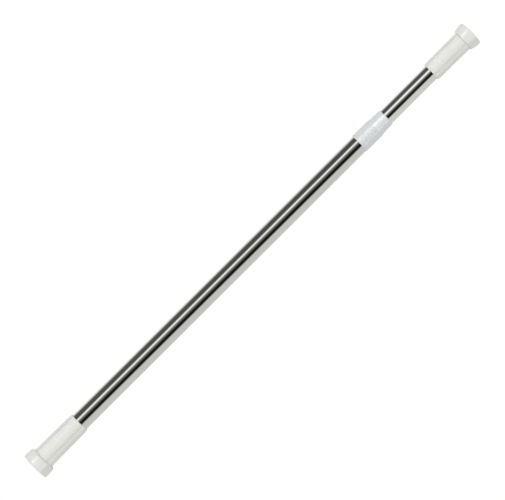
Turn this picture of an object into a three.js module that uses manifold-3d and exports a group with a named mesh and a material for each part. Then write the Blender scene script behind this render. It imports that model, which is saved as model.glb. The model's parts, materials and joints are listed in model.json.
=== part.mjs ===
// A telescopic doorway pull-up bar: two thin-walled tubes, a joint collar where one enters the other,
// and a soft sleeve and flared foot on each end. Inside, an eccentric cam grips the outer tube's bore
// when the inner tube is twisted, and a jack screw then drives the two feet apart.
//
// Millimetres. +X runs along the bar from the outer tube's foot to the inner tube's foot, +Z is up,
// and the origin is the centre of the outer foot's wall face.
import * as THREE from "three";
import { mergeVertices } from "three/addons/utils/BufferGeometryUtils.js";
import Module from "manifold-3d";

const wasm = await Module();
wasm.setup();

// ---------------------------------------------------------------- driving dimensions

const BAR_LENGTH = 1009; // wall face to wall face at the modelled setting
const FIT = 0.2; // radial gap of a pushed or running fit
const SEAT = 0.3; // axial gap between faces that rest on each other
const ROUND = 32; // sides of the tubes and of what fits them
const SMALL_ROUND = 20; // sides of screws, washers and pins

const OUTER_TUBE = { r: 16, bore: 15, end: 783 };
const INNER_TUBE = { r: 14, bore: 12.8, start: 383.3 };
const COLLAR = { start: 751, end: 812.5, r: 17.3, shoulder: 787, waist: 792, waistR: 16.2, lipR: 15.5 };
const BUSH = { length: 28, flange: 1.5, flangeR: 15.8 };
const GLIDE_RING = { fromEnd: 8, width: 12, split: 2 };

// Each end of the bar, measured from its own wall face inwards.
const OUTER_END = {
  tube: OUTER_TUBE,
  foot: { length: 20.2, wallR: 25.4, midR: 24.8, neckR: 24.2, shoulder: 4.4, grooves: [11, 17] },
  plate: { r: 18, thick: 6.4 },
  sleeve: { length: 83.3, footR: 19.5, tubeR: 18.5, lipR: 17.4, bevel: 5 },
  boss: 8.5,
  plugLength: 52,
};
const INNER_END = {
  tube: INNER_TUBE,
  foot: { length: 19.2, wallR: 22.3, midR: 22, neckR: 21.5, shoulder: 4, grooves: [9.5, 15] },
  plate: { r: 15.3, thick: 5.6 },
  sleeve: { length: 73, footR: 17.4, tubeR: 17.1, lipR: 16, bevel: 5 },
  boss: 7.5,
  plugLength: 45,
};
const PAD_FACE = 3.5; // rubber in front of the foot plate
const PAD_LIP = 0.7; // radial gap between the pad's back opening and the boss that runs through it
const PAD_GROOVE = { width: 1.6, depth: 0.9 };
const SLEEVE_WALL = 2.4; // the sleeve's end wall, behind the foot
const PLUG_FLANGE = 5; // the end plug's flange, which the tube butts on
const PLUG = { wall: 3.5, lead: 2 };
const WASHER = { bore: 3.2, thick: 1 };
const PIVOT = { headR: 5.6, head: 3, shankR: 3, threadR: 2.4, length: 24, hexFlats: 4, hexDepth: 1.8 };

// The lock unit and the jack screw, by their places along the bar.
const CAM = { start: 333, flange: 5, flangeR: 14.3, journal: 24, journalR: 8.5, offset: 1, spigotR: 6.5 };
const CROSS_PIN = { r: 1.15, hole: 1.4, sides: 12 };
const SHOE = { r: 14.6, clearance: 0.3, slot: 3, endGap: 0.5, groove: { width: 1.6, depth: 0.8 } };
const JACK = { start: 323, end: 453, shankR: 4, tailR: 3.4, coreR: 4.3, crestR: 5.5, lead: 5, sides: 12 };
const JACK_THREAD = { start: 372, end: 442 };
const THREAD_GAP = 0.3; // between the jack screw's thread and its nut's
const NUT_PLUG = { start: 379, flange: 4, flangeR: 14.7, end: 413 };
const HEX = { flats: 13, thick: 5.5 };
const SCREW_WASHER = { r: 8.5, thick: 1.5 };
const OVERLAP = 0.5; // how far solids that are joined reach into each other

// ---------------------------------------------------------------- materials

function finish(color, roughness, metalness = 0) {
  return new THREE.MeshStandardMaterial({ color, roughness, metalness });
}
const chrome = finish(0xd9dad8, 0.08, 1);
const zincSteel = finish(0xb4b6b8, 0.35, 1);
const sleeveVinyl = finish(0xe9eae4, 0.5);
const footRubber = finish(0xe7e8e2, 0.6);
const collarPlastic = finish(0xe6edee, 0.25);
const naturalNylon = finish(0xe4e2d6, 0.45);
const blackAcetal = finish(0x2a2b2d, 0.4);

// ---------------------------------------------------------------- shapes

// A solid of revolution round the bar's axis. The profile is a list of [x, radius].
function turned(profile, sides = ROUND) {
  const onAxis = profile[0][1] === 0 && profile.at(-1)[1] === 0;
  let points = profile.map(([x, r]) => new THREE.Vector2(r, x));
  if (THREE.ShapeUtils.area(points) < 0) points.reverse();
  if (!onAxis) points = [...points, points[0].clone()];
  return new THREE.LatheGeometry(points, sides).rotateZ(-Math.PI / 2);
}

function disc(start, end, r, sides = ROUND) {
  return turned([[start, 0], [start, r], [end, r], [end, 0]], sides);
}

function ring(start, end, bore, r, sides = ROUND) {
  return turned([[start, bore], [start, r], [end, r], [end, bore]], sides);
}

// A hexagonal prism along the bar, across the given flats, with an optional round hole.
function hexagon(start, end, flats, hole = 0) {
  const corner = flats / Math.sqrt(3);
  const outline = Array.from({ length: 6 }, (_, i) => {
    const a = (i * Math.PI) / 3;
    return new THREE.Vector2(corner * Math.cos(a), corner * Math.sin(a));
  });
  const shape = new THREE.Shape(outline);
  if (hole) shape.holes.push(new THREE.Path().absarc(0, 0, hole, 0, 2 * Math.PI, true));
  const settings = { depth: end - start, bevelEnabled: false, curveSegments: SMALL_ROUND };
  return new THREE.ExtrudeGeometry(shape, settings).rotateY(Math.PI / 2).translate(start, 0, 0);
}

// Points round a corner that a circle rounds off, from facing outwards to facing along the bar.
function roundedCorner(x, r, radius, steps) {
  return Array.from({ length: steps + 1 }, (_, i) => {
    const a = (i / steps) * (Math.PI / 2);
    return [x - radius + radius * Math.sin(a), r - radius + radius * Math.cos(a)];
  });
}

// The ridge of a screw thread: a trapezoid section swept along a right-hand helix round the bar's axis.
function threadRidge(start, end, rootR, crestR, rootWidth, crestWidth, lead, sides) {
  const steps = Math.round(((end - start) / lead) * sides);
  const section = [
    [-rootWidth / 2, rootR],
    [-crestWidth / 2, crestR],
    [crestWidth / 2, crestR],
    [rootWidth / 2, rootR],
  ];
  const position = [];
  for (let i = 0; i <= steps; i++) {
    const a = (i / sides) * 2 * Math.PI;
    for (const [dx, r] of section) {
      position.push(start + (i / sides) * lead + dx, r * Math.cos(a), r * Math.sin(a));
    }
  }
  const index = [];
  const quad = (a, b, c, d) => index.push(a, b, c, a, c, d);
  for (let i = 0; i < steps; i++) {
    for (let k = 0; k < 4; k++) {
      const here = i * 4 + k;
      const next = i * 4 + ((k + 1) % 4);
      quad(here, here + 4, next + 4, next);
    }
  }
  quad(0, 1, 2, 3);
  quad(steps * 4 + 3, steps * 4 + 2, steps * 4 + 1, steps * 4);
  const ridge = new THREE.BufferGeometry();
  ridge.setAttribute("position", new THREE.Float32BufferAttribute(position, 3));
  return ridge.setIndex(index);
}

// ---------------------------------------------------------------- cutting and joining

function solid(geometry) {
  const bare = new THREE.BufferGeometry();
  bare.setAttribute("position", geometry.getAttribute("position"));
  bare.setIndex(geometry.index);
  const merged = mergeVertices(bare, 1e-3);
  const corners = Array.from(merged.index.array);
  const triVerts = [];
  for (let i = 0; i < corners.length; i += 3) {
    const [a, b, c] = corners.slice(i, i + 3);
    if (a !== b && b !== c && c !== a) triVerts.push(a, b, c);
  }
  const vertProperties = merged.getAttribute("position").array;
  return new wasm.Manifold(
    new wasm.Mesh({ numProp: 3, vertProperties, triVerts: new Uint32Array(triVerts) }),
  );
}

function geometryOf(made) {
  const mesh = made.getMesh();
  const geometry = new THREE.BufferGeometry();
  geometry.setAttribute("position", new THREE.BufferAttribute(mesh.vertProperties, 3));
  geometry.setIndex(new THREE.BufferAttribute(mesh.triVerts, 1));
  geometry.computeVertexNormals();
  return geometry;
}

function cut(geometry, ...tools) {
  return geometryOf(tools.reduce((left, tool) => left.subtract(solid(tool)), solid(geometry)));
}

function join(geometry, ...more) {
  return geometryOf(more.reduce((sum, piece) => sum.add(solid(piece)), solid(geometry)));
}

// ---------------------------------------------------------------- tubes and collar

function outerTube() {
  const start = OUTER_END.foot.length + SEAT + SLEEVE_WALL + PLUG_FLANGE + 2 * SEAT;
  return ring(start, OUTER_TUBE.end, OUTER_TUBE.bore, OUTER_TUBE.r);
}

function innerTube() {
  const fromWall = INNER_END.foot.length + SEAT + SLEEVE_WALL + PLUG_FLANGE + 2 * SEAT;
  return ring(INNER_TUBE.start, BAR_LENGTH - fromWall, INNER_TUBE.bore, INNER_TUBE.r);
}

// The collar grips the outer tube's mouth and tapers to a lip round the inner tube.
function jointCollar() {
  const seatR = OUTER_TUBE.r + FIT;
  const lipBore = INNER_TUBE.r + FIT + 0.15;
  const step = OUTER_TUBE.end + 2 * SEAT + BUSH.flange;
  const chamfer = 0.8;
  return turned([
    [COLLAR.start, seatR],
    [COLLAR.start, COLLAR.r - chamfer / 2],
    [COLLAR.start + chamfer, COLLAR.r],
    [COLLAR.shoulder, COLLAR.r],
    [(COLLAR.shoulder + COLLAR.waist) / 2, (COLLAR.r + COLLAR.waistR) / 2],
    [COLLAR.waist, COLLAR.waistR],
    [COLLAR.end - chamfer, COLLAR.lipR],
    [COLLAR.end, COLLAR.lipR - chamfer / 2],
    [COLLAR.end, lipBore],
    [step, lipBore],
    [step, seatR],
  ]);
}

// A flanged bush in the outer tube's mouth, which the inner tube turns and slides in.
function collarBush() {
  const start = OUTER_TUBE.end - BUSH.length;
  const flange = OUTER_TUBE.end + FIT;
  const bore = INNER_TUBE.r + FIT;
  const bodyR = OUTER_TUBE.bore - 0.15;
  return turned([
    [start, bore],
    [start, bodyR],
    [flange, bodyR],
    [flange, BUSH.flangeR],
    [flange + BUSH.flange, BUSH.flangeR],
    [flange + BUSH.flange, bore],
  ]);
}

// A split ring near the inner tube's inner end, which centres it in the outer tube.
function glideRing() {
  const { fromEnd, width, split } = GLIDE_RING;
  const start = INNER_TUBE.start + fromEnd;
  const whole = ring(start, start + width, INNER_TUBE.r + 0.15, OUTER_TUBE.bore - FIT);
  const slot = new THREE.BoxGeometry(width + 2, split, OUTER_TUBE.bore);
  slot.translate(start + width / 2, 0, -OUTER_TUBE.bore / 2);
  return cut(whole, slot);
}

// ---------------------------------------------------------------- the two ends

// Places along an end, measured from the wall face inwards.
function stations(end) {
  const plate = PAD_FACE + SEAT;
  const washer = plate + end.plate.thick + FIT;
  const boss = washer + WASHER.thick + FIT;
  const sleeve = end.foot.length + SEAT;
  const flange = sleeve + SLEEVE_WALL + SEAT;
  return { plate, washer, boss, sleeve, flange, plug: flange + PLUG_FLANGE };
}

// A flared rubber cup with a rounded shoulder and grooves in its wall face, closed over the foot plate.
function footPad(end) {
  const { length, wallR, midR, neckR, shoulder, grooves } = end.foot;
  const at = stations(end);
  const face = [...grooves].reverse().flatMap((r) => [
    [0, r + PAD_GROOVE.width],
    [PAD_GROOVE.depth, r + PAD_GROOVE.width],
    [PAD_GROOVE.depth, r],
    [0, r],
  ]);
  const pocketR = end.plate.r + SEAT;
  const pocket = at.plate + end.plate.thick + SEAT;
  const edge = 1;
  return turned([
    [PAD_FACE, 0],
    [PAD_FACE, pocketR],
    [pocket, pocketR],
    [pocket, end.boss + PAD_LIP],
    [length, end.boss + PAD_LIP],
    ...roundedCorner(length, neckR, shoulder, 3).reverse(),
    [length / 2, midR],
    [4 * edge, wallR],
    [edge, wallR],
    [0, wallR - edge],
    ...face,
    [0, 0],
  ]);
}

// The stiff disc inside the pad, counterbored for the pivot screw's head.
function footPlate(end) {
  const { plate } = stations(end);
  const back = plate + end.plate.thick;
  const seat = plate + PIVOT.head + 0.7;
  const bore = PIVOT.shankR + FIT;
  const counterbore = PIVOT.headR + 0.8;
  return turned([
    [plate, counterbore],
    [plate, end.plate.r],
    [back, end.plate.r],
    [back, bore],
    [seat, bore],
    [seat, counterbore],
  ]);
}

function thrustWasher(end) {
  const { washer } = stations(end);
  return ring(washer, washer + WASHER.thick, WASHER.bore, end.boss - 0.4, SMALL_ROUND);
}

// A shouldered socket screw, on which the foot turns.
function pivotScrew(end) {
  const at = stations(end);
  const seat = at.plate + PIVOT.head + 0.5;
  const head = seat - PIVOT.head;
  const thread = at.boss - 0.1;
  const chamfer = 0.6;
  const body = turned([
    [head, 0],
    [head, PIVOT.headR - chamfer],
    [head + chamfer, PIVOT.headR],
    [seat, PIVOT.headR],
    [seat, PIVOT.shankR],
    [thread, PIVOT.shankR],
    [thread, PIVOT.threadR],
    [thread + PIVOT.length, PIVOT.threadR],
    [thread + PIVOT.length, 0],
  ], SMALL_ROUND);
  return cut(body, hexagon(head - 1, head + PIVOT.hexDepth, PIVOT.hexFlats));
}

// A flanged plug pressed into the tube. Its boss carries the foot, and its far half is hollow.
function endPlug(end) {
  const at = stations(end);
  const bodyR = end.tube.bore - FIT;
  const flangeR = end.tube.r - 0.1;
  const tip = at.plug + end.plugLength;
  const hollow = at.boss + PIVOT.length + 6;
  const hollowR = bodyR - PLUG.wall;
  const hole = PIVOT.threadR + FIT;
  return turned([
    [at.boss, hole],
    [at.boss, end.boss],
    [at.flange, end.boss],
    [at.flange, flangeR],
    [at.plug, flangeR],
    [at.plug, bodyR],
    [tip - PLUG.lead, bodyR],
    [tip, bodyR - PLUG.lead / 2],
    [tip, hollowR],
    [hollow, hollowR],
    [hollow, hole],
  ]);
}

// A long soft sleeve over the tube's end, with an end wall behind the foot.
function endSleeve(end) {
  const { footR, tubeR, lipR, bevel, length } = end.sleeve;
  const { sleeve } = stations(end);
  const far = end.foot.length + length;
  const bore = end.tube.r + FIT;
  const hole = end.boss + SEAT;
  const chamfer = 0.8;
  return turned([
    [sleeve, hole],
    [sleeve, footR - chamfer],
    [sleeve + chamfer, footR],
    [far - bevel, tubeR],
    [far - bevel / 4, (tubeR + lipR) / 2],
    [far, lipR],
    [far, bore],
    [sleeve + SLEEVE_WALL, bore],
    [sleeve + SLEEVE_WALL, hole],
  ]);
}

// ---------------------------------------------------------------- lock unit and jack screw

// The cam: a flange, an eccentric journal that the shoe rides on, and a spigot for the end flange.
function camCore() {
  const journal = CAM.start + CAM.flange;
  const spigot = journal + CAM.journal;
  const end = spigot + CAM.flange - SEAT;
  const body = join(
    disc(CAM.start, journal, CAM.flangeR),
    disc(journal - OVERLAP, spigot, CAM.journalR).translate(0, 0, CAM.offset),
    disc(spigot - OVERLAP, end, CAM.spigotR),
  );
  const bore = disc(CAM.start - 1, end + 1, JACK.shankR + FIT, SMALL_ROUND);
  return cut(body, bore, crossCylinder(CROSS_PIN.hole, 3 * CAM.flangeR));
}

function camEndFlange() {
  const start = CAM.start + CAM.flange + CAM.journal + SEAT;
  return ring(start, start + CAM.flange - SEAT, CAM.spigotR + SEAT, CAM.flangeR);
}

// A cylinder across the bar, through the middle of the cam's flange.
function crossCylinder(r, length) {
  const x = CAM.start + CAM.flange / 2;
  return new THREE.CylinderGeometry(r, r, length, CROSS_PIN.sides).translate(x, 0, 0);
}

function crossPin() {
  return crossCylinder(CROSS_PIN.r, 2 * CAM.flangeR - 1.5);
}

// A split, grooved ring bored off centre. Turned on the journal, it moves out against the tube.
function lockShoe() {
  const start = CAM.start + CAM.flange + SHOE.endGap;
  const end = CAM.start + CAM.flange + CAM.journal - SHOE.endGap;
  const { width, depth } = SHOE.groove;
  const grooves = [0.25, 0.5, 0.75].flatMap((share) => {
    const from = start + share * (end - start) - width / 2;
    return [
      [from, SHOE.r],
      [from, SHOE.r - depth],
      [from + width, SHOE.r - depth],
      [from + width, SHOE.r],
    ];
  });
  const body = turned([[start, 0], [start, SHOE.r], ...grooves, [end, SHOE.r], [end, 0]]);
  const bore = disc(start - 1, end + 1, CAM.journalR + SHOE.clearance).translate(0, 0, CAM.offset);
  const slotHeight = SHOE.r + 1;
  const slot = new THREE.BoxGeometry(end - start + 2, SHOE.slot, slotHeight);
  slot.translate((start + end) / 2, 0, -slotHeight / 2);
  return cut(body, bore, slot);
}

// The threaded stretch of the jack screw, made fatter by a gap to cut the nut's thread.
function jackThread(start, end, gap = 0) {
  const { coreR, crestR, lead, sides } = JACK;
  const width = { root: lead / 2 + 2 * gap, crest: lead / 4 + 2 * gap };
  const root = coreR - 0.4;
  return join(
    disc(start, end, coreR + gap, sides),
    threadRidge(start + 2, end - 2, root, crestR + gap, width.root, width.crest, lead, sides),
  );
}

function jackScrew() {
  const thread = jackThread(JACK_THREAD.start, JACK_THREAD.end);
  const shank = disc(JACK.start, JACK_THREAD.start + OVERLAP, JACK.shankR, SMALL_ROUND);
  const tail = disc(JACK_THREAD.end - OVERLAP, JACK.end, JACK.tailR, SMALL_ROUND);
  return cut(join(thread, shank, tail), crossCylinder(CROSS_PIN.hole, 3 * JACK.shankR));
}

// The plug in the inner tube's inner end, whose thread runs on the jack screw.
function nutPlug() {
  const { start, flange, flangeR, end } = NUT_PLUG;
  const bodyR = INNER_TUBE.bore - FIT;
  const groove = { at: start + 18, width: 3, depth: 0.8 };
  const body = turned([
    [start, 0],
    [start, flangeR],
    [start + flange, flangeR],
    [start + flange, bodyR],
    [groove.at, bodyR],
    [groove.at, bodyR - groove.depth],
    [groove.at + groove.width, bodyR - groove.depth],
    [groove.at + groove.width, bodyR],
    [end, bodyR],
    [end, 0],
  ]);
  const turnsBefore = Math.ceil((start - JACK_THREAD.start) / JACK.lead);
  const from = JACK_THREAD.start + (turnsBefore - 2) * JACK.lead;
  return cut(body, jackThread(from, end + 2 * JACK.lead, THREAD_GAP));
}

function screwWasher(start, shankR) {
  return ring(start, start + SCREW_WASHER.thick, shankR + FIT, SCREW_WASHER.r, SMALL_ROUND);
}

function screwNut(start, shankR) {
  return hexagon(start, start + HEX.thick, HEX.flats, shankR + FIT);
}

// ---------------------------------------------------------------- assembly

const bar = new THREE.Group();

function add(parent, name, geometry, material) {
  const mesh = new THREE.Mesh(geometry, material);
  mesh.name = name;
  parent.add(mesh);
}

// An end's own group runs from the wall inwards, so the inner end's group is turned to face back.
function addEnd(prefix, end, group) {
  add(group, `${prefix}_foot_pad`, footPad(end), footRubber);
  add(group, `${prefix}_foot_plate`, footPlate(end), naturalNylon);
  add(group, `${prefix}_thrust_washer`, thrustWasher(end), zincSteel);
  add(group, `${prefix}_pivot_screw`, pivotScrew(end), zincSteel);
  add(group, `${prefix}_end_plug`, endPlug(end), naturalNylon);
  add(group, `${prefix}_end_sleeve`, endSleeve(end), sleeveVinyl);
  bar.add(group);
}

addEnd("outer", OUTER_END, new THREE.Group());
const innerEnd = new THREE.Group();
innerEnd.position.x = BAR_LENGTH;
innerEnd.rotation.z = Math.PI;
addEnd("inner", INNER_END, innerEnd);

add(bar, "outer_tube", outerTube(), chrome);
add(bar, "inner_tube", innerTube(), chrome);
add(bar, "joint_collar", jointCollar(), collarPlastic);
add(bar, "collar_bush", collarBush(), naturalNylon);
add(bar, "glide_ring", glideRing(), naturalNylon);

add(bar, "cam_core", camCore(), blackAcetal);
add(bar, "cam_end_flange", camEndFlange(), blackAcetal);
add(bar, "cam_cross_pin", crossPin(), zincSteel);
add(bar, "lock_shoe", lockShoe(), naturalNylon);
add(bar, "jack_screw", jackScrew(), zincSteel);
add(bar, "thread_nut_plug", nutPlug(), naturalNylon);

const camWasher = CAM.start - FIT - SCREW_WASHER.thick;
const camNut = camWasher - FIT - HEX.thick;
const stopWasher = JACK_THREAD.end + FIT;
const stopNut = stopWasher + SCREW_WASHER.thick + FIT;
add(bar, "cam_washer", screwWasher(camWasher, JACK.shankR), zincSteel);
add(bar, "cam_nut", screwNut(camNut, JACK.shankR), zincSteel);
add(bar, "stop_washer", screwWasher(stopWasher, JACK.tailR), zincSteel);
add(bar, "stop_nut", screwNut(stopNut, JACK.tailR), zincSteel);

export default bar;
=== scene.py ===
"""A telescopic doorway pull-up bar: chromed tubes, a moulded joint collar, and soft sleeves with flared feet.

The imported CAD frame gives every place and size. Each piece is made here again on the same outline, with fine
rounds, lips, ribs and threads, and has a procedural material. Metres, +X along the bar, +Z up.
"""

import json
import math

import bmesh
import bpy
from mathutils import Matrix, Vector


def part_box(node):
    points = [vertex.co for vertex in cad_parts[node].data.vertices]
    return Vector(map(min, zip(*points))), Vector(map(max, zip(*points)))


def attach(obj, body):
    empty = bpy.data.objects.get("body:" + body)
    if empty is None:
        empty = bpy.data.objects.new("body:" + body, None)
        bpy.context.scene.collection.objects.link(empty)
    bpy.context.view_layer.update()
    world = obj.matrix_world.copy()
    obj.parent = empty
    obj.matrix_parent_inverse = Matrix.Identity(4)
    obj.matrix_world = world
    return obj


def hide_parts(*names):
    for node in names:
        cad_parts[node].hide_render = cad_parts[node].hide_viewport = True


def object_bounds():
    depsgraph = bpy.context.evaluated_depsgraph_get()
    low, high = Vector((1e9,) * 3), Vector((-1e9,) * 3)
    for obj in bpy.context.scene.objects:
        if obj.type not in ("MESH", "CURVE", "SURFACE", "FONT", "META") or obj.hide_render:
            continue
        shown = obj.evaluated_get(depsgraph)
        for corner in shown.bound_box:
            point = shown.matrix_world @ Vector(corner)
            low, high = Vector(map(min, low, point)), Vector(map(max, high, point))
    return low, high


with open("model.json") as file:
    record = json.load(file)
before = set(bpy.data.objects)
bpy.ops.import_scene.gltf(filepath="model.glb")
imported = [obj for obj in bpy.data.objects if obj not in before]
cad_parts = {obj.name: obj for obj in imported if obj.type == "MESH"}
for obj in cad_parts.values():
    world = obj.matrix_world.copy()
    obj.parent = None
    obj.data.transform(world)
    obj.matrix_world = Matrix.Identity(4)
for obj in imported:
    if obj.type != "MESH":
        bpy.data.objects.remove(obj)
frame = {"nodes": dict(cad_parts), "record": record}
cad_low, cad_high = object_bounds()

MM = 0.001
SIDES = 128  # faces round a piece that shows
SMALL_SIDES = 96  # and round one inside the bar, a multiple of 12 so that a hexagon's corners fall on it
ARC_STEPS = 6  # faces round each rounded corner
FIT = 0.2  # radial gap of a pushed or running fit, in millimetres, like all sizes below
SEAT = 0.3  # gap between faces that rest on each other
SEAM = 0.1  # gap that shows between a foot and its sleeve
TUBE_WALL = {"outer_tube": 1.0, "inner_tube": 1.2}
SHOULDER = {"outer": (0.6, 4.6), "inner": (2.6, 1.5)}  # each foot's drop to its shoulder, and its rounding
HEAD_HEIGHT = 3  # of the pivot screw
PIVOT_R = 3  # its plain part, which the foot turns on
PIVOT_THREAD_R = 2.4
FLANGE_RECESS = 2.4  # how deep the plug's flange sits in the sleeve
SHANK_R = 4  # the jack screw's plain part
TAIL_R = 3.4  # and its end, which the stop nut is on
PIN_HOLE_R = 1.4  # across the cam and the jack screw
JOURNAL_R = 8.5
SPIGOT_R = 6.5
CAM_OFFSET = 1  # how far the cam's journal is off the bar's axis, straight up
THREAD_EARLY = 7  # how far before the threaded plug the jack screw's thread starts
THREAD = {"lead": 5, "core": 4.3, "crest": 5.5, "root_share": 0.5, "crest_share": 0.25, "gap": 0.3}


# ---------------------------------------------------------------- shapes


def rounded(outline):
    """An outline's points, with each corner given as (x, radius, rounding) made an arc. Millimetres."""
    points = []
    count = len(outline)
    for i, corner in enumerate(outline):
        here = Vector(corner[:2])
        rounding = corner[2] if len(corner) > 2 else 0
        before = Vector(outline[i - 1][:2]) - here
        after = Vector(outline[(i + 1) % count][:2]) - here
        if not rounding or before.length < 1e-9 or after.length < 1e-9:
            points.append(here)
            continue
        half = before.angle(after) / 2
        reach = min(rounding / math.tan(half), 0.49 * before.length, 0.49 * after.length)
        radius = reach * math.tan(half)
        centre = here + (before.normalized() + after.normalized()).normalized() * (radius / math.sin(half))
        first = here + before.normalized() * reach - centre
        last = here + after.normalized() * reach - centre
        sweep = first.angle_signed(last)
        for step in range(ARC_STEPS + 1):
            turn = -sweep * step / ARC_STEPS
            c, s = math.cos(turn), math.sin(turn)
            arm = Vector((first.x * c - first.y * s, first.x * s + first.y * c))
            points.append(centre + arm)
    return points


def wrapped(name, outline_at, sides):
    """A solid inside an outline that may change with the angle round the bar.

    outline_at takes that angle, from +Y towards +Z in radians, and gives (x, radius) points, as many at each
    angle. The outline closes on itself, or starts and ends on the bar's axis.
    """
    bm = bmesh.new()
    rows = []
    for k in range(sides):
        a = 2 * math.pi * k / sides
        across, up = MM * math.cos(a), MM * math.sin(a)
        rows.append([bm.verts.new((x * MM, r * across, r * up)) for x, r in outline_at(a)])
    for here, there in zip(rows, rows[1:] + rows[:1]):
        for i in range(len(here)):
            bm.faces.new((here[i - 1], here[i], there[i], there[i - 1]))
    bmesh.ops.remove_doubles(bm, verts=bm.verts, dist=1e-7)
    loose = [e for e in bm.edges if not e.link_faces]
    bmesh.ops.delete(bm, geom=loose, context="EDGES")
    bmesh.ops.recalc_face_normals(bm, faces=bm.faces)
    mesh = bpy.data.meshes.new(name)
    bm.to_mesh(mesh)
    bm.free()
    piece = bpy.data.objects.new(name, mesh)
    bpy.context.scene.collection.objects.link(piece)
    return piece


def turned(name, outline, sides=SIDES):
    """A solid of revolution round the bar's axis."""
    points = rounded(outline)
    return wrapped(name, lambda angle: points, sides)


def moved(piece, matrix):
    piece.data.transform(matrix)
    return piece


def block(low, high):
    """A box between two corners, in millimetres, as a cutter."""
    bm = bmesh.new()
    bmesh.ops.create_cube(bm, size=1)
    size = Vector(high) - Vector(low)
    middle = (Vector(high) + Vector(low)) / 2
    fitted = Matrix.Translation(middle * MM) @ Matrix.Diagonal((*size * MM, 1))
    bmesh.ops.transform(bm, verts=bm.verts, matrix=fitted)
    mesh = bpy.data.meshes.new("cutter")
    bm.to_mesh(mesh)
    bm.free()
    cutter = bpy.data.objects.new("cutter", mesh)
    bpy.context.scene.collection.objects.link(cutter)
    return cutter


def cross_pin(name, x, r, length, rounding=0.0):
    """A pin through the bar's axis at x, along Y."""
    outline = [(-length / 2, 0), (-length / 2, r, rounding), (length / 2, r, rounding), (length / 2, 0)]
    pin = turned(name, outline, SMALL_SIDES // 3)
    return moved(pin, Matrix.Translation((x * MM, 0, 0)) @ Matrix.Rotation(math.pi / 2, 4, "Z"))


def carved(piece, cutter):
    """The piece with the cutter taken out of it. The cutter is used up."""
    cut = piece.modifiers.new("cut", "BOOLEAN")
    cut.operation = "DIFFERENCE"
    cut.solver = "EXACT"
    cut.object = cutter
    evaluated = piece.evaluated_get(bpy.context.evaluated_depsgraph_get())
    mesh = bpy.data.meshes.new_from_object(evaluated)
    piece.modifiers.remove(cut)
    piece.data = mesh
    bpy.data.objects.remove(cutter)
    return piece


def hexagon_radius(flats, angle):
    """How far a hexagon's edge is from its middle at an angle, with a flat facing +Y."""
    sixth = math.pi / 3
    return flats / 2 / math.cos((angle + sixth / 2) % sixth - sixth / 2)


def thread_radius(x, start, end, angle, gap=0.0):
    """A right-hand trapezoid thread's radius at a place along the bar, fading out at its two ends."""
    lead, core, crest = THREAD["lead"], THREAD["core"], THREAD["crest"]
    phase = (x - start) / lead - angle / (2 * math.pi)
    off = abs(phase - round(phase))
    top = THREAD["crest_share"] / 2 + gap / lead
    foot = THREAD["root_share"] / 2 + gap / lead
    rise = min(1, max(0, (foot - off) / (foot - top)))
    fade = min(1, max(0, min(x - start, end - x) / (lead / 2)))
    return core + gap + (crest - core) * rise * fade


# ---------------------------------------------------------------- materials


class Nodes:
    """A material's node tree, with a short way to add nodes and link them."""

    def __init__(self, name):
        self.material = bpy.data.materials.new(name)
        self.material.use_nodes = True
        self.tree = self.material.node_tree
        self.shader = self.tree.nodes["Principled BSDF"]

    def add(self, kind, values=None, **settings):
        node = self.tree.nodes.new(kind)
        for key, value in settings.items():
            setattr(node, key, value)
        for key, value in (values or {}).items():
            self.put(value, node.inputs[key])
        return node

    def put(self, value, socket):
        if isinstance(value, bpy.types.NodeSocket):
            self.tree.links.new(value, socket)
        else:
            socket.default_value = value

    def place(self, scale=(1, 1, 1)):
        """The point in the bar's own frame, in millimetres, stretched by scale."""
        where = self.add("ShaderNodeTexCoord").outputs["Object"]
        factors = [1000 * s for s in scale]
        return self.add("ShaderNodeMapping", {"Vector": where, "Scale": factors}).outputs["Vector"]

    def noise(self, place, scale, detail=3, roughness=0.55):
        values = {"Vector": place, "Scale": scale, "Detail": detail, "Roughness": roughness}
        return self.add("ShaderNodeTexNoise", values).outputs["Fac"]

    def spread(self, value, low, high, start=0.3, end=0.7):
        """The value's start to end taken to low to high."""
        numbers = {"Value": value, "From Min": start, "From Max": end, "To Min": low, "To Max": high}
        return self.add("ShaderNodeMapRange", numbers).outputs["Result"]

    def mix(self, factor, a, b):
        node = self.add("ShaderNodeMix", data_type="RGBA")
        self.put(factor, node.inputs[0])
        self.put(a, node.inputs[6])
        self.put(b, node.inputs[7])
        return node.outputs[2]

    def bump(self, *layers):
        """Pairs of a height and its depth in millimetres, each bump on top of the last."""
        normal = None
        for height, depth in layers:
            values = {"Height": height, "Distance": depth * MM, "Strength": 1.0}
            node = self.add("ShaderNodeBump", values)
            if normal:
                self.put(normal, node.inputs["Normal"])
            normal = node.outputs["Normal"]
        self.put(normal, self.shader.inputs["Normal"])

    def finish(self, **values):
        for key, value in values.items():
            self.put(value, self.shader.inputs[key.replace("_", " ")])
        return self.material


def linear(red, green, blue):
    """A linear colour from 0 to 255 sRGB values."""
    def one(v):
        v /= 255
        return v / 12.92 if v <= 0.04045 else ((v + 0.055) / 1.055) ** 2.4

    return (one(red), one(green), one(blue), 1.0)


def chrome(name, dark, light, haziest):
    """Bright chrome plate on drawn tube: faint draw lines along the bar, and slight haze."""
    n = Nodes(name)
    draw_lines = n.noise(n.place((0.004, 1, 1)), 2.4, 4)
    haze = n.noise(n.place((0.3, 1, 1)), 0.05, 3)
    n.bump((draw_lines, 0.0006))
    tint = n.mix(n.spread(haze, 0, 1), dark, light)
    return n.finish(Base_Color=tint, Metallic=1.0, Roughness=n.spread(haze, 0.035, haziest))


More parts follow.
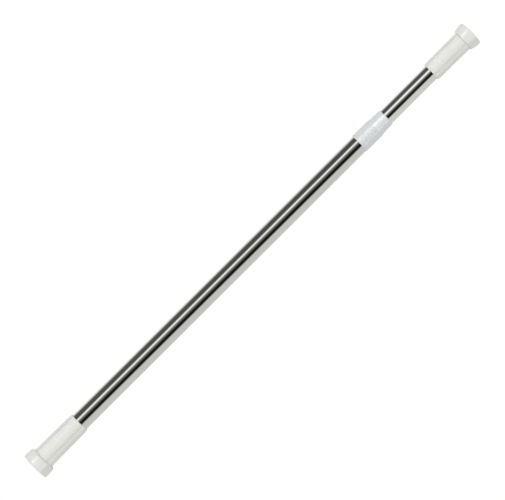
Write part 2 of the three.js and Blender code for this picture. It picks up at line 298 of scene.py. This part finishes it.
def vinyl():
    """Soft off-white vinyl with a fine moulded grain and slight mottling."""
    n = Nodes("sleeve_vinyl")
    where = n.place()
    grain = n.noise(where, 2.2, 4)
    mottle = n.noise(where, 0.06, 3)
    n.bump((n.noise(where, 0.12, 2), 0.03), (grain, 0.004))
    colour = n.mix(n.spread(mottle, 0, 1), linear(236, 237, 230), linear(240, 241, 235))
    return n.finish(Base_Color=colour, Roughness=n.spread(grain, 0.18, 0.24), IOR=1.45)


def foot_rubber():
    """Off-white rubber, a little rougher than the sleeves."""
    n = Nodes("foot_rubber")
    where = n.place()
    grain = n.noise(where, 3.0, 4)
    mottle = n.noise(where, 0.09, 3)
    n.bump((n.noise(where, 0.15, 2), 0.03), (grain, 0.004))
    colour = n.mix(n.spread(mottle, 0, 1), linear(236, 237, 231), linear(241, 242, 236))
    return n.finish(Base_Color=colour, Roughness=n.spread(grain, 0.15, 0.21))


def collar_plastic():
    """Glossy cool white plastic."""
    n = Nodes("collar_plastic")
    where = n.place()
    flow = n.noise(where, 0.08, 2)
    n.bump((n.noise(where, 0.5, 2), 0.004))
    colour = n.mix(n.spread(flow, 0, 1), linear(228, 232, 233), linear(233, 237, 238))
    return n.finish(Base_Color=colour, Roughness=n.spread(flow, 0.2, 0.26), IOR=1.6)


def nylon():
    """Natural nylon mouldings, slightly yellow, with a satin surface."""
    n = Nodes("natural_nylon")
    where = n.place()
    cloud = n.noise(where, 0.15, 3)
    n.bump((n.noise(where, 1.5, 3), 0.01))
    colour = n.mix(n.spread(cloud, 0, 1), linear(222, 219, 204), linear(233, 230, 217))
    return n.finish(Base_Color=colour, Roughness=n.spread(cloud, 0.38, 0.5))


def acetal():
    """Black acetal mouldings."""
    n = Nodes("black_acetal")
    where = n.place()
    cloud = n.noise(where, 0.3, 3)
    n.bump((n.noise(where, 2.0, 3), 0.008))
    colour = n.mix(n.spread(cloud, 0, 1), linear(30, 31, 33), linear(40, 41, 43))
    return n.finish(Base_Color=colour, Roughness=n.spread(cloud, 0.32, 0.45))


def zinc():
    """Bright zinc plate on turned steel, with fine rings from the lathe."""
    n = Nodes("zinc_steel")
    rings = n.noise(n.place((1, 0.05, 0.05)), 3.0, 3)
    patches = n.noise(n.place(), 0.4, 3)
    n.bump((rings, 0.003))
    colour = n.mix(n.spread(patches, 0, 1), linear(178, 180, 184), linear(200, 201, 202))
    return n.finish(Base_Color=colour, Metallic=1.0, Roughness=n.spread(patches, 0.25, 0.38))


MATERIALS = {
    "chrome_tube": chrome("chrome_tube", linear(198, 199, 192), linear(204, 205, 198), 0.075),
    "sleeve_vinyl": vinyl(),
    "foot_rubber": foot_rubber(),
    "collar_plastic": collar_plastic(),
    "natural_nylon": nylon(),
    "black_acetal": acetal(),
    "zinc_steel": zinc(),
}
SLOT_OF = {row["node"]: row["material_slot"] for row in frame["record"]["subparts"]}
BODY_OF = {node: body for body, nodes in frame["record"]["behaviour"]["bodies"].items() for node in nodes}


def stands_for(piece, node, material=None):
    """The piece takes a CAD node's place, with its body, its material slot and that slot's material."""
    for face in piece.data.polygons:
        face.use_smooth = True
    piece.data.set_sharp_from_angle(angle=math.radians(40))
    weighted = piece.modifiers.new("flat_stretches", "WEIGHTED_NORMAL")
    weighted.weight = 100
    weighted.keep_sharp = True
    piece.data.materials.append(material or MATERIALS[SLOT_OF[node]])
    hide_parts(node)
    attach(piece, BODY_OF[node])


def span(node):
    """A node's low and high X and its largest radius, in millimetres."""
    low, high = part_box(node)
    return low.x / MM, high.x / MM, high.y / MM


def radius_at(node, x):
    """A node's largest radius at a corner of its outline near x, in millimetres."""
    corners = [v.co for v in frame["nodes"][node].data.vertices if abs(v.co.x / MM - x) < 0.5]
    return max(corner.yz.length for corner in corners) / MM


# ---------------------------------------------------------------- tubes and collar


def tube(node, material):
    start, end, r = span(node)
    bore = r - TUBE_WALL[node]
    outline = [(start, bore, 0.2), (start, r, 0.3), (end, r, 0.3), (end, bore, 0.2)]
    stands_for(turned(f"{node}_skin", outline), node, material)


def collar():
    """Straight over the outer tube, then tapered to a slimmer stretch with a lip round the inner tube."""
    start, end, r = span("joint_collar")
    tube_end, tube_r = span("outer_tube")[1:]
    bush_end = span("collar_bush")[1]
    seat_r = tube_r + FIT
    lip_bore = span("inner_tube")[2] + FIT + 0.15
    outline = [
        (start, seat_r, 0.1),
        (start, r, 0.8),
        (tube_end + 4, r, 3),
        (tube_end + 9, radius_at("joint_collar", tube_end + 9), 5),
        (end, radius_at("joint_collar", end - 1), 0.8),
        (end, lip_bore, 0.2),
        (bush_end + SEAT, lip_bore),
        (bush_end + SEAT, seat_r),
    ]
    stands_for(turned("collar_shell", outline), "joint_collar")


def bush():
    """The flanged bush in the outer tube's mouth, with two wiping grooves in its bore."""
    start, end, flange_r = span("collar_bush")
    bore = span("inner_tube")[2] + FIT
    body_r = span("outer_tube")[2] - TUBE_WALL["outer_tube"] - 0.15
    flange = span("outer_tube")[1] + FIT
    grooves = []
    for x in (flange - 4, flange - 12):
        grooves += [(x, bore), (x, bore + 0.4, 0.1), (x - 1.2, bore + 0.4, 0.1), (x - 1.2, bore)]
    outline = [
        (start, bore, 0.3),
        (start, body_r, 0.4),
        (flange, body_r),
        (flange, flange_r, 0.3),
        (end, flange_r, 0.3),
        (end, bore, 0.3),
        *grooves,
    ]
    stands_for(turned("collar_bush_liner", outline, SMALL_SIDES), "collar_bush")


def glide():
    """The ring round the inner tube's inner end, split so that it springs on."""
    start, end, r = span("glide_ring")
    bore = span("inner_tube")[2] + 0.15
    outline = [(start, bore, 0.15), (start, r, 0.35), (end, r, 0.35), (end, bore, 0.15)]
    ring = turned("glide_ring_split", outline, SMALL_SIDES)
    stands_for(carved(ring, block((start - 1, -1, -r - 1), (end + 1, 1, 0))), "glide_ring")


# ---------------------------------------------------------------- the two ends


class End:
    """One end of the bar. Places on it are counted from its wall face inwards, in millimetres."""

    def __init__(self, prefix, inwards):
        self.prefix = prefix
        self.inwards = inwards
        low, high, _ = span(f"{prefix}_foot_pad")
        self.wall = low if inwards > 0 else high
        self.boss_r = self.reach("thrust_washer")[2] + 0.4

    def reach(self, piece):
        """A piece's near place, far place and largest radius."""
        low, high, r = span(f"{self.prefix}_{piece}")
        near, far = sorted(self.inwards * (x - self.wall) for x in (low, high))
        return near, far, r

    def radius_at(self, piece, place):
        return radius_at(f"{self.prefix}_{piece}", self.wall + self.inwards * place)

    def make(self, name, piece, outline_at, sides=SIDES):
        """A piece from an outline, or from a function that gives the outline's points at each angle."""
        fixed = None if callable(outline_at) else rounded(outline_at)

        def along_bar(angle):
            points = fixed or rounded(outline_at(angle))
            return [(self.wall + self.inwards * x, r) for x, r in points]

        stands_for(wrapped(f"{self.prefix}_{name}", along_bar, sides), f"{self.prefix}_{piece}")


def foot(end):
    """A flared rubber cup, grooved in its wall face and closed over the stiff plate."""
    _, length, r = end.reach("foot_pad")
    plate_near, plate_far, plate_r = end.reach("foot_plate")
    middle_r = end.radius_at("foot_pad", length / 2)
    drop, rounding = SHOULDER[end.prefix]
    face = []
    for g in (0.67 * r, 0.43 * r):
        face += [(0, g + 1.6, 0.3), (0.9, g + 1.6, 0.3), (0.9, g, 0.3), (0, g, 0.3)]
    outline = [
        (plate_near - FIT, 0),
        (plate_near - FIT, plate_r + SEAT),
        (plate_far + SEAT, plate_r + SEAT),
        (plate_far + SEAT, end.boss_r + 0.7),
        (length, end.boss_r + 0.7, 0.3),
        (length, middle_r - drop, rounding),
        (length / 2, middle_r, 6),
        (3, r, 3),
        (0, r - 0.3, 1.2),
        *face,
        (0, 0),
    ]
    end.make("foot_skin", "foot_pad", outline)


def sleeve(end):
    """A long soft sleeve, a little slimmer towards the tube, with a round lip there."""
    near, far, r = end.reach("end_sleeve")
    tube_r = span(f"{end.prefix}_tube")[2]
    outline = [
        (near - SEAT + SEAM, end.boss_r + SEAT, 0.2),
        (near - SEAT + SEAM, r, 0.4),
        (far - 5, end.radius_at("end_sleeve", far - 5), 5),
        (far, end.radius_at("end_sleeve", far), 0.8),
        (far, tube_r + FIT, 0.2),
        (near + FLANGE_RECESS, tube_r + FIT),
        (near + FLANGE_RECESS, end.boss_r + SEAT),
    ]
    end.make("sleeve_skin", "end_sleeve", outline)


def plate(end):
    """The stiff disc in the foot, counterbored for the screw's head, with a hollow ring in its back."""
    near, far, r = end.reach("foot_plate")
    head_near, _, head_r = end.reach("pivot_screw")
    seat = head_near + HEAD_HEIGHT + FIT
    bore = PIVOT_R + FIT
    outline = [
        (near, head_r + 0.8, 0.3),
        (near, r, 0.5),
        (far, r, 0.5),
        (far, r - 3, 0.3),
        (far - 1.5, r - 3, 0.3),
        (far - 1.5, end.boss_r + 1.5, 0.3),
        (far, end.boss_r + 1.5, 0.3),
        (far, bore, 0.3),
        (seat, bore, 0.2),
        (seat, head_r + 0.8, 0.3),
    ]
    end.make("foot_disc", "foot_plate", outline, SMALL_SIDES)


def washer(end):
    near, far, r = end.reach("thrust_washer")
    bore = PIVOT_R + FIT
    outline = [(near, bore, 0.1), (near, r, 0.25), (far, r, 0.25), (far, bore, 0.1)]
    end.make("pivot_washer", "thrust_washer", outline, SMALL_SIDES)


def screw(end):
    """A shouldered screw with a hexagon socket in its head and a thread in the plug."""
    near, far, head_r = end.reach("pivot_screw")
    seat = near + HEAD_HEIGHT
    shank_end = end.reach("thrust_washer")[1] + 0.1
    socket = near + 1.8
    turns = [(x, deep) for x in steps(shank_end + 1, far - 1, 0.5) for deep in (0, 0.35)]

    def outline(angle):
        hexagon = hexagon_radius(4, angle)
        thread = [(x + deep * 0.7, PIVOT_THREAD_R - deep) for x, deep in turns]
        return [
            (socket + 0.8, 0),
            (socket, hexagon),
            (near, hexagon, 0.15),
            (near, head_r, 0.6),
            (seat, head_r, 0.2),
            (seat, PIVOT_R, 0.2),
            (shank_end, PIVOT_R, 0.2),
            (shank_end, PIVOT_THREAD_R),
            *thread,
            (far, 1.6, 0.2),
            (far, 0),
        ]

    end.make("swivel_screw", "pivot_screw", outline, SMALL_SIDES)


def plug(end):
    """The flanged plug in the tube's end, held by ribs along its body, with a hollow far half."""
    near, tip, flange_r = end.reach("end_plug")
    flange = end.reach("end_sleeve")[0] + FLANGE_RECESS + SEAT
    body = flange + 5
    body_r = span(f"{end.prefix}_tube")[2] - TUBE_WALL[f"{end.prefix}_tube"] - FIT
    bore = PIVOT_THREAD_R + FIT
    hollow = near + 30
    ribs = 12

    def outline(angle):
        rib = max(0, math.cos(ribs * angle)) ** 2
        side = body_r - 0.5 + 0.5 * rib
        return [
            (near, bore, 0.2),
            (near, end.boss_r, 0.4),
            (flange, end.boss_r),
            (flange, flange_r, 0.3),
            (body, flange_r, 0.3),
            (body, side, 0.2),
            (tip - 2, side, 1),
            (tip, body_r - 1, 0.3),
            (tip, body_r - 3.5, 0.3),
            (hollow, body_r - 3.5, 1),
            (hollow, bore, 0.2),
        ]

    end.make("tube_plug", "end_plug", outline, SMALL_SIDES)


def steps(start, end, size):
    """Places from start to end, about that far apart."""
    count = max(1, round(abs(end - start) / size))
    return [start + (end - start) * i / count for i in range(count + 1)]


# ---------------------------------------------------------------- lock unit and jack screw


def off_centre(r, angle):
    """The radius at which a circle round the cam's offset axis is met."""
    return CAM_OFFSET * math.sin(angle) + math.sqrt(r**2 - (CAM_OFFSET * math.cos(angle)) ** 2)


def cam():
    """The cam: a flange with the cross pin's hole, an eccentric journal, and a spigot for the end flange."""
    start, end, flange_r = span("cam_core")
    pin_low, pin_high, _ = span("cam_cross_pin")
    journal = start + 5
    spigot = span("cam_end_flange")[0] - SEAT
    bore = SHANK_R + FIT

    def outline(angle):
        return rounded([
            (start, bore, 0.3),
            (start, flange_r, 0.5),
            (journal, flange_r, 0.5),
            (journal, off_centre(JOURNAL_R, angle), 0.4),
            (spigot, off_centre(JOURNAL_R, angle), 0.4),
            (spigot, SPIGOT_R, 0.2),
            (end, SPIGOT_R, 0.5),
            (end, bore, 0.3),
        ])

    body = wrapped("cam_journal", outline, SMALL_SIDES)
    hole = cross_pin("cutter", (pin_low + pin_high) / 2, PIN_HOLE_R, 3 * flange_r)
    stands_for(carved(body, hole), "cam_core")


def cam_flange():
    start, end, r = span("cam_end_flange")
    bore = SPIGOT_R + SEAT
    outline = [(start, bore, 0.3), (start, r, 0.5), (end, r, 0.5), (end, bore, 0.3)]
    stands_for(turned("cam_flange_ring", outline, SMALL_SIDES), "cam_end_flange")


def shoe():
    """The split, grooved ring on the journal."""
    start, end, r = span("lock_shoe")
    grooves = []
    for share in (0.25, 0.5, 0.75):
        x = start + share * (end - start)
        grooves += [(x - 0.8, r, 0.2), (x - 0.8, r - 0.8, 0.2), (x + 0.8, r - 0.8, 0.2), (x + 0.8, r, 0.2)]

    def outline(angle):
        bore = off_centre(JOURNAL_R + SEAT, angle)
        return rounded([(start, bore, 0.3), (start, r, 0.6), *grooves, (end, r, 0.6), (end, bore, 0.3)])

    body = wrapped("lock_shoe_ring", outline, SMALL_SIDES)
    stands_for(carved(body, block((start - 1, -1.5, -r - 1), (end + 1, 1.5, 0))), "lock_shoe")


def jack():
    """The jack screw: a plain shank through the cam, a long trapezoid thread, and a tail for the stop nut."""
    low, high, _ = span("jack_screw")
    start = span("thread_nut_plug")[0] - THREAD_EARLY
    end = span("stop_washer")[0] - FIT
    pin_low, pin_high, _ = span("cam_cross_pin")
    places = steps(start, end, THREAD["lead"] / 16)

    def outline(angle):
        thread = [(x, thread_radius(x, start, end, angle)) for x in places]
        return [
            *rounded([(low, 0), (low, SHANK_R, 0.5), (start, SHANK_R)]),
            *map(Vector, thread),
            *rounded([(end, TAIL_R), (high, TAIL_R, 0.5), (high, 0)]),
        ]

    body = wrapped("jack_spindle", outline, SMALL_SIDES)
    hole = cross_pin("cutter", (pin_low + pin_high) / 2, PIN_HOLE_R, 3 * SHANK_R)
    stands_for(carved(body, hole), "jack_screw")


def nut_plug():
    """The threaded plug in the inner tube's inner end, with a snap groove and ribs along its body."""
    start, end, flange_r = span("thread_nut_plug")
    body_r = span("inner_tube")[2] - TUBE_WALL["inner_tube"] - FIT
    thread_start, thread_end = start - THREAD_EARLY, end + THREAD_EARLY
    places = steps(end, start, THREAD["lead"] / 16)
    groove = start + 18

    def outline(angle):
        side = body_r - 0.4 + 0.4 * max(0, math.cos(10 * angle)) ** 2
        bore = [Vector((x, thread_radius(x, thread_start, thread_end, angle, THREAD["gap"]))) for x in places]
        return [
            *rounded([
                (start, 5),
                (start, flange_r, 0.5),
                (start + 4, flange_r, 0.5),
                (start + 4, side, 0.2),
                (groove, side, 0.2),
                (groove, body_r - 0.8, 0.2),
                (groove + 3, body_r - 0.8, 0.2),
                (groove + 3, side, 0.2),
                (end, side, 0.5),
                (end, 5),
            ])[1:-1],
            *bore,
        ]

    stands_for(wrapped("thread_plug_body", outline, SMALL_SIDES), "thread_nut_plug")


def screw_washer(node, shank_r):
    start, end, r = span(node)
    bore = shank_r + FIT
    outline = [(start, bore, 0.1), (start, r, 0.4), (end, r, 0.4), (end, bore, 0.1)]
    stands_for(turned(f"{node}_ring", outline, SMALL_SIDES), node)


def nut(node, shank_r):
    """A hexagon nut, its corners turned off by a shallow cone on each face."""
    start, end, _ = span(node)
    flats = 2 * span(node)[2]
    bore = shank_r + FIT
    face_r = 0.47 * flats

    def outline(angle):
        side = hexagon_radius(flats, angle)
        drop = (side - face_r) * math.tan(math.radians(30))
        return rounded([
            (start, bore, 0.3),
            (start, face_r),
            (start + drop, side),
            (end - drop, side),
            (end, face_r),
            (end, bore, 0.3),
        ])

    stands_for(wrapped(f"{node}_hex", outline, SMALL_SIDES), node)


def cam_pin():
    low, high, r = span("cam_cross_pin")
    length = 2 * r
    pin_r = (high - low) / 2
    stands_for(cross_pin("cam_pin_rod", (low + high) / 2, pin_r, length, 0.3), "cam_cross_pin")


tube("outer_tube", MATERIALS["chrome_tube"])
tube("inner_tube", chrome("chrome_inner_tube", linear(207, 208, 202), linear(212, 213, 206), 0.11))
collar()
bush()
glide()
for end in (End("outer", 1), End("inner", -1)):
    foot(end)
    sleeve(end)
    plate(end)
    washer(end)
    screw(end)
    plug(end)
cam()
cam_flange()
cam_pin()
shoe()
jack()
nut_plug()
screw_washer("cam_washer", SHANK_R)
nut("cam_nut", SHANK_R)
screw_washer("stop_washer", TAIL_R)
nut("stop_nut", TAIL_R)

for node, obj in frame["nodes"].items():
    obj.data.materials.clear()
    obj.data.materials.append(MATERIALS[SLOT_OF[node]])


# ---------------------------------------------------------------- studio


def studio_world():
    """A studio round the bar, as bands of light along it: sharp ones for gloss, soft ones for the rest."""
    world = bpy.data.worlds.new("studio")
    bpy.context.scene.world = world
    world.use_nodes = True
    tree = world.node_tree
    tree.nodes.clear()

    def add(kind, **settings):
        node = tree.nodes.new(kind)
        for key, value in settings.items():
            setattr(node, key, value)
        return node

    def math_node(operation, a, b=None):
        node = add("ShaderNodeMath", operation=operation)
        for value, socket in ((a, node.inputs[0]), (b, node.inputs[1])):
            if isinstance(value, bpy.types.NodeSocket):
                tree.links.new(value, socket)
            elif value is not None:
                socket.default_value = value
        return node.outputs[0]

    direction = add("ShaderNodeTexCoord").outputs["Generated"]
    split = add("ShaderNodeSeparateXYZ")
    tree.links.new(direction, split.inputs[0])
    turn = math_node("ARCTAN2", split.outputs["Y"], split.outputs["Z"])
    share = math_node("DIVIDE", math_node("ADD", turn, math.pi), 2 * math.pi)

    def bands(stops):
        """Light by its angle round the bar, from straight up towards +Y, in degrees."""
        colours = add("ShaderNodeValToRGB")
        tree.links.new(share, colours.inputs[0])
        ramp = colours.color_ramp
        ramp.elements.remove(ramp.elements[0])
        for i, (angle, value) in enumerate(stops):
            where = (angle + 180) / 360
            stop = ramp.elements[0] if i == 0 else ramp.elements.new(where)
            stop.position = where
            stop.color = (value, value, value, 1)
        background = add("ShaderNodeBackground")
        tree.links.new(colours.outputs["Color"], background.inputs["Color"])
        return background.outputs[0]

    mirrored = bands([
        (-180, 0.0),
        (-150, 0.8),
        (-138, 0.9),
        (-46, 0.9),
        (-34, 0.03),
        (-18, 0.002),
        (-5, 0.035),
        (10, 0.25),
        (18, 0.37),
        (26, 1.0),
        (35, 1.75),
        (43, 0.65),
        (55, 0.09),
        (100, 0.14),
        (125, 0.95),
        (180, 1.4),
    ])
    soft = bands([(-85, 0.48), (-45, 1.15), (-5, 0.48), (33, 0.48), (63, 1.65), (93, 0.48)])

    rays = add("ShaderNodeLightPath")
    lit = add("ShaderNodeMixShader")
    tree.links.new(rays.outputs["Is Glossy Ray"], lit.inputs[0])
    tree.links.new(soft, lit.inputs[1])
    tree.links.new(mirrored, lit.inputs[2])
    plain = add("ShaderNodeBackground")
    plain.inputs["Color"].default_value = (1, 1, 1, 1)
    plain.inputs["Strength"].default_value = 1.05
    seen = add("ShaderNodeMixShader")
    tree.links.new(rays.outputs["Is Camera Ray"], seen.inputs[0])
    tree.links.new(lit.outputs[0], seen.inputs[1])
    tree.links.new(plain.outputs[0], seen.inputs[2])
    output = add("ShaderNodeOutputWorld")
    tree.links.new(seen.outputs[0], output.inputs["Surface"])


def floor():
    """A plain pale floor under the bar."""
    size = 12
    mesh = bpy.data.meshes.new("floor")
    z = cad_low.z - 0.0005
    middle = (cad_low.x + cad_high.x) / 2
    corners = [(middle + x * size, y * size, z) for x, y in ((-1, -1), (1, -1), (1, 1), (-1, 1))]
    mesh.from_pydata(corners, [], [(0, 1, 2, 3)])
    obj = bpy.data.objects.new("floor", mesh)
    bpy.context.scene.collection.objects.link(obj)
    obj.visible_glossy = False
    obj.visible_diffuse = False
    n = Nodes("floor")
    obj.data.materials.append(n.finish(
        Base_Color=(0.05, 0.05, 0.05, 1),
        Roughness=0.8,
        Emission_Color=(1, 1, 1, 1),
        Emission_Strength=0.97,
    ))


def sheen_box(name, start, end, length, radiance, pieces, x=None):
    """A softbox that only the gloss of the named pieces shows, from one angle round the bar to another."""
    distance = 2
    angle = (start + end) / 2
    width = 2 * distance * math.tan(math.radians(end - start) / 2)
    data = bpy.data.lights.new(name, "AREA")
    data.shape = "RECTANGLE"
    data.size, data.size_y = length, width
    data.energy = radiance * math.pi * width * length
    light = bpy.data.objects.new(name, data)
    middle = (cad_low + cad_high) / 2
    if x is not None:
        middle.x = x
    light.location = middle + around(angle, distance)
    light.rotation_euler = around(angle, -1).to_track_quat("-Z", "Y").to_euler()
    light.visible_camera = False
    light.visible_diffuse = False
    bpy.context.scene.collection.objects.link(light)
    seen_by = bpy.data.collections.new(name)
    for piece in pieces:
        seen_by.objects.link(bpy.data.objects[piece])
    light.light_linking.receiver_collection = seen_by


def around(angle, distance):
    """A place at that distance from the bar, the angle from straight up towards +Y, in degrees."""
    a = math.radians(angle)
    return Vector((0, math.sin(a), math.cos(a))) * distance


def camera():
    """Straight over the bar through a long lens, turned so that the bar runs up to the right."""
    data = bpy.data.cameras.new("camera")
    data.sensor_width = 36
    data.lens = 217.2
    data.clip_end = 50
    obj = bpy.data.objects.new("camera", data)
    obj.location = (0.5036, 0, 5)
    obj.rotation_euler = (0, 0, math.radians(-44.87))
    bpy.context.scene.collection.objects.link(obj)
    bpy.context.scene.camera = obj


studio_world()
floor()
SLEEVES = ["outer_sleeve_skin", "inner_sleeve_skin"]
FEET = ["outer_foot_skin", "inner_foot_skin"]
COLLAR = ["collar_shell"]
PAST_THE_END = 2.4  # where the collar's taper looks, past the inner end
sheen_box("sleeve_panel", -37, 90, 4, 3, SLEEVES)
sheen_box("sleeve_rim", -88, -60, 4, 2, SLEEVES)
sheen_box("foot_panel", -56, 58, 4, 2.7, FEET)
sheen_box("foot_back", 58, 110, 4, 1.9, FEET)
sheen_box("foot_highlight", 30, 42, 0.9, 6, FEET)
sheen_box("collar_panel", -14, 110, 4, 1.05, COLLAR)
sheen_box("slim_panel", -60, 50, 3, 2.1, COLLAR, PAST_THE_END)
sheen_box("slim_highlight", 20, 42, 3, 2.8, COLLAR, PAST_THE_END)
sheen_box("inner_tube_glow", 8, 58, 4, 0.11, ["inner_tube_skin"])
camera()
bpy.context.scene.view_settings.view_transform = "Standard"
